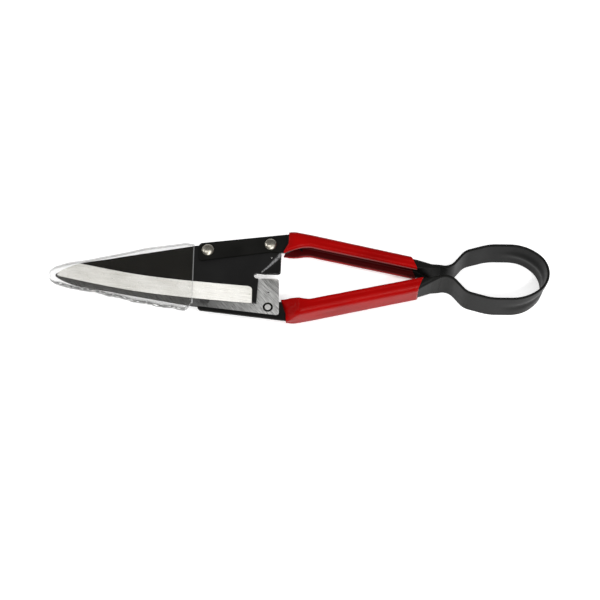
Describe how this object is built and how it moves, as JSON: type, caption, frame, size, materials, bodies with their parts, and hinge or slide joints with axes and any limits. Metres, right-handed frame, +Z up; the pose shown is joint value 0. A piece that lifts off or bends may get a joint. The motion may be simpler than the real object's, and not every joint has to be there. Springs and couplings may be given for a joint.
{
  "type": "grass shears",
  "caption": "One-hand grass shears: two riveted blades on sprung channel handles joined by an open bow, soft sleeves and a clear slip-on blade guard.",
  "frame": {"origin": "centre of the closed shears: on the bow's centre line at mid-length, on the plane where the two blades meet", "axes": "+X from the blade tips to the spring bow (longest extent), +Y towards the upper arm's side, +Z up through the band's width (shortest extent)"},
  "size_m": [0.3346, 0.0632, 0.0254],
  "materials": {
    "spring_steel_black": "satin black coating",
    "blade_steel": "black-coated outer face, ground inner face and bevel",
    "grip_red": "glossy soft plastic sleeve",
    "rivet_nickel": "dull nickel",
    "guard_clear": "clear glossy plastic"
  },
  "bodies": {
    "bow": {"spring_bow": "spring_steel_black"},
    "upper_arm": {"upper_arm": "spring_steel_black", "upper_grip": "grip_red", "upper_blade": "blade_steel", "upper_front_rivet": "rivet_nickel", "upper_rear_rivet": "rivet_nickel"},
    "lower_arm": {"lower_arm": "spring_steel_black", "lower_grip": "grip_red", "lower_blade": "blade_steel", "lower_front_rivet": "rivet_nickel", "lower_rear_rivet": "rivet_nickel"},
    "guard": {"blade_guard": "guard_clear"}
  },
  "joints": [
    {"name": "upper_arm_open", "type": "hinge", "parent": "bow", "child": "upper_arm", "pos_m": [0.134, 0, 0], "axis": [0, 0, -1], "range_deg": [0, 5], "deforming": ["spring_bow"]},
    {"name": "lower_arm_open", "type": "hinge", "parent": "bow", "child": "lower_arm", "pos_m": [0.134, 0, 0], "axis": [0, 0, 1], "range_deg": [0, 5], "deforming": ["spring_bow"]},
    {"name": "guard_slide", "type": "slide", "parent": "bow", "child": "guard", "axis": [-1, 0, 0], "range_m": [0, 0.142]}
  ],
  "couplings": [
    {"joint": "lower_arm_open", "follows": "upper_arm_open", "ratio": 1},
    {"joint": "guard_slide", "follows": "upper_arm_open", "m_per_rad": 1.62}
  ]
}
